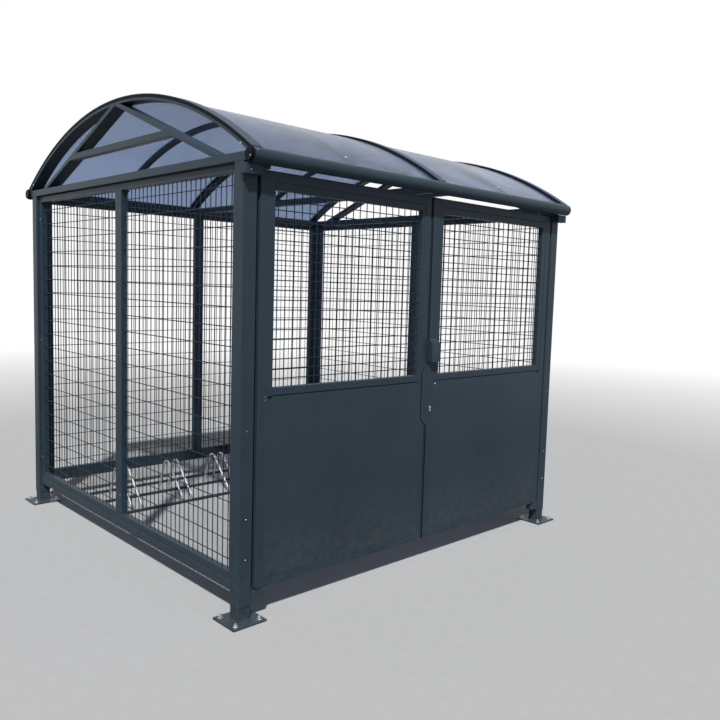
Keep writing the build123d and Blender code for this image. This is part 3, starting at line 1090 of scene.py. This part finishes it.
class SHELTER_OT_doors(bpy.types.Operator):
    """Builds the door leaves: stiles and rails, mesh above and folded sheet below"""

    bl_idname = "shelter.doors"
    bl_label = "Doors"

    def execute(self, context):
        bar, pitch = sizes().panel_bar, sizes().door_pitch
        metal, gap = 2 * MILLI, 4 * MILLI
        for side, inward, last_bar in (("left", 1, sizes().seam_bar), ("right", -1, bar)):
            body = f"{side}_door"
            for node in (f"{side}_door_frame", f"{side}_meeting_stile"):
                dress(node, 0.1, sizes().bar_corner, 3, "bars", body)
            mesh_panel(f"{side}_door_mesh", (1, -1), bar, last_bar, pitch, pitch, body)
            node = f"{side}_door_sheet"
            low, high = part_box(node)
            front, top = low.y, high.z - gap
            tray = bmesh.new()
            made = add_block(tray, low, (high.x, high.y, top))
            back = end_face(tray.faces, 1)
            inset(tray, back, metal)
            inset(tray, back, 0, -(high.y - front - metal))
            rim = [edge for edge in edges_of(made) if all(vert.co.y < front + 1e-5 for vert in edge.verts)]
            soften(tray, rim, 1.9 * MILLI)
            finish(tray, f"{node}_tray", body, anthracite_sheet_coat(), [node])
            # The black strip behind the gap over the sheet, painted shade in that seam, and a black block on
            # the sheet's face at its upper outer corner, painted shade of a notch
            painted_shade = bmesh.new()
            add_block(painted_shade, (low.x, front + metal, top), (high.x, front + 6 * metal, high.z))
            outer = low.x if side == "left" else high.x
            notch = [outer + inward * reach for reach in (12 * MILLI, 34 * MILLI)]
            notch_low = (notch[0], front - 0.2 * MILLI, high.z - 13 * MILLI)
            add_block(painted_shade, notch_low, (notch[1], front + metal, high.z))
            finish_black(painted_shade, f"{side}_sheet_seam_and_notch_shade", body=body)
        return {"FINISHED"}


class SHELTER_OT_lock(bpy.types.Operator):
    """Dresses the lock tongue and the pull, and adds the closing strip and the lock cylinder"""

    bl_idname = "shelter.lock"
    bl_label = "Lock and pull"

    def execute(self, context):
        body = "right_door"
        for node in ("lock_tongue", "door_pull"):
            dress(node, 0.02, 1 * MILLI, 2, "dressed", body)
        low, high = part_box("right_meeting_stile")
        tongue_low, tongue_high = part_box("lock_tongue")
        thick, wide, seam_shade_wide = 2 * MILLI, 0.035, 8 * MILLI
        strip, painted_shade, barrel, keyway_shade, screws = (bmesh.new() for _ in range(5))
        add_bar(strip, (low.x, low.y - thick, low.z), (low.x + wide, low.y, high.z), 1 * MILLI)
        finish_steel(strip, "closing_strip", body=body)
        # Black strips down the seam at the meeting stile, above and below the tongue: painted shade in the
        # gap between the leaves
        for bottom, top in ((low.z, tongue_low.z), (tongue_high.z, high.z)):
            add_block(painted_shade, (low.x, low.y - 1.1 * thick, bottom), (low.x + seam_shade_wide, low.y, top))
        finish_black(painted_shade, "meeting_seam_shade", body=body)

        # A black copy of the tongue beside it, set back from its face: painted shade in the gap beside the
        # tongue
        gap_shade = copied_node("lock_tongue")
        bmesh.ops.translate(gap_shade, verts=gap_shade.verts, vec=(-seam_shade_wide, -low.y, 0))
        bmesh.ops.scale(gap_shade, verts=gap_shade.verts, vec=(1, 0.3, 1))
        bmesh.ops.translate(gap_shade, verts=gap_shade.verts, vec=(0, low.y + 3 * MILLI, 0))
        finish_black(gap_shade, "tongue_gap_shade", body=body)

        # The round barrel with the foot of its profile, and a black block proud of its face: painted shade of
        # the keyway
        place = Vector((low.x + 0.034, low.y - thick, 0.985))
        add_rod(barrel, place, place - Vector((0, 4 * MILLI, 0)), 8.5 * MILLI, 32)
        foot_low = place + Vector((-5, -4, -24)) * MILLI
        made = add_block(barrel, foot_low, place + Vector((5, 0, 0)) * MILLI)
        soften(barrel, edges_along(made, 1), 4 * MILLI, 4)
        finish_fasteners(barrel, "lock_cylinder", plated_fastener(), body)
        key_low, key_high = Vector((-1.2, -4.4, -6)), Vector((1.2, -3.6, 5))
        add_block(keyway_shade, place + key_low * MILLI, place + key_high * MILLI)
        finish_black(keyway_shade, "lock_keyway_shade", body=body)
        low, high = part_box("right_door_sheet")
        place = Vector((low.x + 0.012, low.y, high.z - 0.02))
        stamp(screws, button_screw(5 * MILLI, 2.5 * MILLI), facing(place, FRONT))
        finish_fasteners(screws, "lock_screws", plated_fastener(), body)
        return {"FINISHED"}


class SHELTER_OT_fixings(bpy.types.Operator):
    """Adds the screws in the posts, panels, blocks and gable arches and on the left door"""

    bl_idname = "shelter.fixings"
    bl_label = "Fixings"

    def execute(self, context):
        small = button_screw(4.5 * MILLI, 2.5 * MILLI)
        washer = button_screw(9 * MILLI, 1.5 * MILLI)
        small_post_screw, washer_screws = 0.983, (0.326, 0.535)
        panels, washers, bolts_and_highlights, door = (bmesh.new() for _ in range(4))
        for word in ("left", "right"):
            low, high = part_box(f"front_{word}_post")
            middle = (low.x + high.x) / 2
            stamp(panels, small, facing((middle, low.y, small_post_screw), FRONT))
            for z in washer_screws:
                stamp(washers, washer, facing((middle, low.y, z), FRONT))
                # Each dark washer stands for a dark domed screw head; the small bright head on it is its
                # painted highlight
                stamp(bolts_and_highlights, small, facing((middle, low.y - 1 * MILLI, z), FRONT))
        bar_middle, from_end = sizes().panel_bar / 2, 0.16
        for node, (axis, sign) in WALL_PANELS:
            low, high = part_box(node)
            across = 1 - axis
            outward, place = Vector((0, 0, 0)), Vector((0, 0, 0))
            outward[axis] = sign
            place[axis] = low[axis] if sign < 0 else high[axis]
            for along in (low[across] + bar_middle, high[across] - bar_middle):
                for z in (low.z + from_end, (low.z + high.z) / 2, high.z - from_end):
                    place[across], place.z = along, z
                    stamp(panels, small, facing(place, outward))
        low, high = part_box("front_head_blocks")
        for x in (low.x + 0.03, high.x - 0.03):
            stamp(panels, small, facing((x, low.y, low.z + 0.02), FRONT))
        finish_fasteners(panels, "panel_screws", dull_fastener())
        finish_black(washers, "post_washers")

        from_eave, bolt_radius = 0.035, roof.arch - sizes().gable_arch_depth * 0.8
        for side in (-1, 1):
            for node, sign in (("left_arch", -1), ("right_arch", 1)):
                low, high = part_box(node)
                x = low.x if sign < 0 else high.x
                place = roof.point(x, side * (roof.end_angle - from_eave), bolt_radius)
                stamp(bolts_and_highlights, small, facing(place, Vector((sign, 0, 0))))
        finish_fasteners(bolts_and_highlights, "frame_bolts_and_post_highlights", plated_fastener())

        low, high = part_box("left_door_sheet")
        for z in (high.z - 3 * MILLI, high.z - 19 * MILLI):
            stamp(door, small, facing((low.x - 5 * MILLI, low.y, z), FRONT))
        finish_fasteners(door, "left_door_screws", dull_fastener(), "left_door")
        return {"FINISHED"}


class SHELTER_OT_rack(bpy.types.Operator):
    """Builds the rack's floor rails and its bent hoops"""

    bl_idname = "shelter.rack"
    bl_label = "Bicycle rack"

    def execute(self, context):
        low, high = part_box("rack_rails")
        rail_rows, rail_half = (0.641, 1.003, 1.275), 0.01
        front, back = rail_rows[:2]
        rails, hoops = bmesh.new(), bmesh.new()
        for y in rail_rows:
            add_bar(rails, (low.x, y - rail_half, low.z), (high.x, y + rail_half, high.z), 1.5 * MILLI)
        finish_steel(rails, "rack_floor_rails", ["rack_rails"])
        first_pair, between_pairs, half_pair = -0.905, 0.409, 0.039
        foot, ankle, top_y, top_z = 0.015, 0.06, 0.9, 0.322
        path = ((front, foot), (front, ankle), (top_y, top_z), (back, ankle), (back, foot))
        for pair in range(5):
            for offset in (-half_pair, half_pair):
                x = first_pair + pair * between_pairs + offset
                points = [(x, y, z) for y, z in path]
                add_bent_rod(hoops, points, (0.03, 0.045, 0.03), sizes().hoop / 2, 14, 8)
        finish(hoops, "rack_bent_hoops", "shelter", galvanised_hoop(), ["rack_hoops"])
        return {"FINISHED"}


def seen_directly(tree):
    """Whether a ray comes from the camera, a reflection or a clear sheet, and whether it is the camera's."""
    path = add(tree, "ShaderNodeLightPath").outputs
    seen = maths(tree, "MAXIMUM", path["Is Camera Ray"], path["Is Glossy Ray"])
    return maths(tree, "MAXIMUM", seen, path["Is Transmission Ray"]), path["Is Camera Ray"]


class SHELTER_OT_stage(bpy.types.Operator):
    """Sets the plain floor, the soft key light, the even sky and the camera"""

    bl_idname = "shelter.stage"
    bl_label = "Stage"

    def execute(self, context):
        scene = context.scene
        scene.view_settings.view_transform = "Standard"
        look = studio()

        bm = bmesh.new()
        bmesh.ops.create_circle(bm, cap_ends=True, segments=96, radius=90.0)
        mesh = bpy.data.meshes.new("floor")
        bm.to_mesh(mesh)
        bm.free()
        floor = put("studio_floor", mesh)
        floor.location.z = -0.0005
        material, tree, place = start_material("studio_floor")
        away = add(tree, "ShaderNodeVectorMath", {0: place}, operation="LENGTH").outputs["Value"]
        seen, camera_ray = seen_directly(tree)
        fade_start, fade_end = 4.5, 14.0
        fade = times(tree, ramp(tree, away, fade_start, fade_end), seen)
        tone = ramp(tree, noise(tree, place, 14.0, 4.0), 0.3, 0.7)
        pale = colours().floor
        base = blend_colours(tree, tone, solid(pale, 0.96), solid(pale))
        dim = blend_colours(tree, 1.0, base, (0.55, 0.55, 0.55, 1.0), "MULTIPLY")
        base = blend_colours(tree, camera_ray, dim, base)
        matt = add(tree, "ShaderNodeBsdfDiffuse", {"Color": base}).outputs[0]
        white = add(tree, "ShaderNodeEmission", {"Color": (1, 1, 1, 1), "Strength": 1.0}).outputs[0]
        mixed = add(tree, "ShaderNodeMixShader", {0: fade, 1: matt, 2: white}).outputs[0]
        add(tree, "ShaderNodeOutputMaterial", {"Surface": mixed})
        mesh.materials.append(material)

        world = bpy.data.worlds.new("studio")
        world.use_nodes = True
        tree = world.node_tree
        tree.nodes.clear()
        seen = seen_directly(tree)[0]
        cool, plain = (0.93, 0.96, 1.0, 1.0), (1.0, 1.0, 1.0, 1.0)
        even = add(tree, "ShaderNodeBackground", {"Color": cool, "Strength": look.sky}).outputs[0]
        white = add(tree, "ShaderNodeBackground", {"Color": plain, "Strength": 1.0}).outputs[0]
        mixed = add(tree, "ShaderNodeMixShader", {0: seen, 1: even, 2: white}).outputs[0]
        add(tree, "ShaderNodeOutputWorld", {"Surface": mixed})
        scene.world = world

        lamp = bpy.data.lights.new("key_light", "SUN")
        lamp.energy = look.sun_strength
        lamp.angle = look.sun_angle
        key = put("key_light", lamp)
        key.matrix_world = facing(Vector((-4, -4, 7)), -Vector(look.sun_heading))

        camera = bpy.data.cameras.new("camera")
        camera.lens = look.lens
        camera.sensor_width = 36.0
        camera.shift_x, camera.shift_y = look.shift
        ahead = Vector((sin(look.yaw) * cos(look.pitch), cos(look.yaw) * cos(look.pitch), sin(look.pitch)))
        level = Vector((cos(look.yaw), -sin(look.yaw), 0))
        above = level.cross(ahead)
        right = level * cos(look.roll) + above * sin(look.roll)
        upward = above * cos(look.roll) - level * sin(look.roll)
        holder = put("camera", camera)
        turned = Matrix((right, upward, -ahead)).transposed().to_4x4()
        holder.matrix_world = Matrix.Translation(Vector(look.place)) @ turned
        scene.camera = holder
        return {"FINISHED"}


STEPS = (
    SHELTER_OT_posts,
    SHELTER_OT_feet,
    SHELTER_OT_head_frame,
    SHELTER_OT_eaves,
    SHELTER_OT_base_rails,
    SHELTER_OT_wall_panels,
    SHELTER_OT_arches,
    SHELTER_OT_trusses,
    SHELTER_OT_roof_cover,
    SHELTER_OT_blocks,
    SHELTER_OT_doors,
    SHELTER_OT_lock,
    SHELTER_OT_fixings,
    SHELTER_OT_rack,
    SHELTER_OT_stage,
)


class SHELTER_PT_sidebar(bpy.types.Panel):
    """Lists the shelter's pieces in the order in which they are built"""

    bl_label = "Bike shelter"
    bl_idname = "SHELTER_PT_sidebar"
    bl_space_type = "VIEW_3D"
    bl_region_type = "UI"
    bl_category = "Shelter"

    def draw(self, context):
        column = self.layout.column()
        for step in STEPS:
            column.operator(step.bl_idname, text=step.bl_label)
        for group in (sizes(), colours(), studio()):
            box = self.layout.box()
            for name in group.__annotations__:
                box.prop(group, name)


CLASSES = (ShelterSizes, ShelterColours, ShelterStudio, *STEPS, SHELTER_PT_sidebar)


def register():
    for each in CLASSES:
        bpy.utils.register_class(each)
    bpy.types.Scene.shelter_sizes = PointerProperty(type=ShelterSizes)
    bpy.types.Scene.shelter_colours = PointerProperty(type=ShelterColours)
    bpy.types.Scene.shelter_studio = PointerProperty(type=ShelterStudio)


def unregister():
    del bpy.types.Scene.shelter_studio
    del bpy.types.Scene.shelter_colours
    del bpy.types.Scene.shelter_sizes
    for each in reversed(CLASSES):
        bpy.utils.unregister_class(each)


def main():
    register()
    make_coat_group()
    make_weather_group()
    make_edge_group()
    make_zinc_group()
    for step in STEPS:
        name = step.bl_idname.split(".")[1]
        getattr(bpy.ops.shelter, name)()


if __name__ == "__main__":
    main()
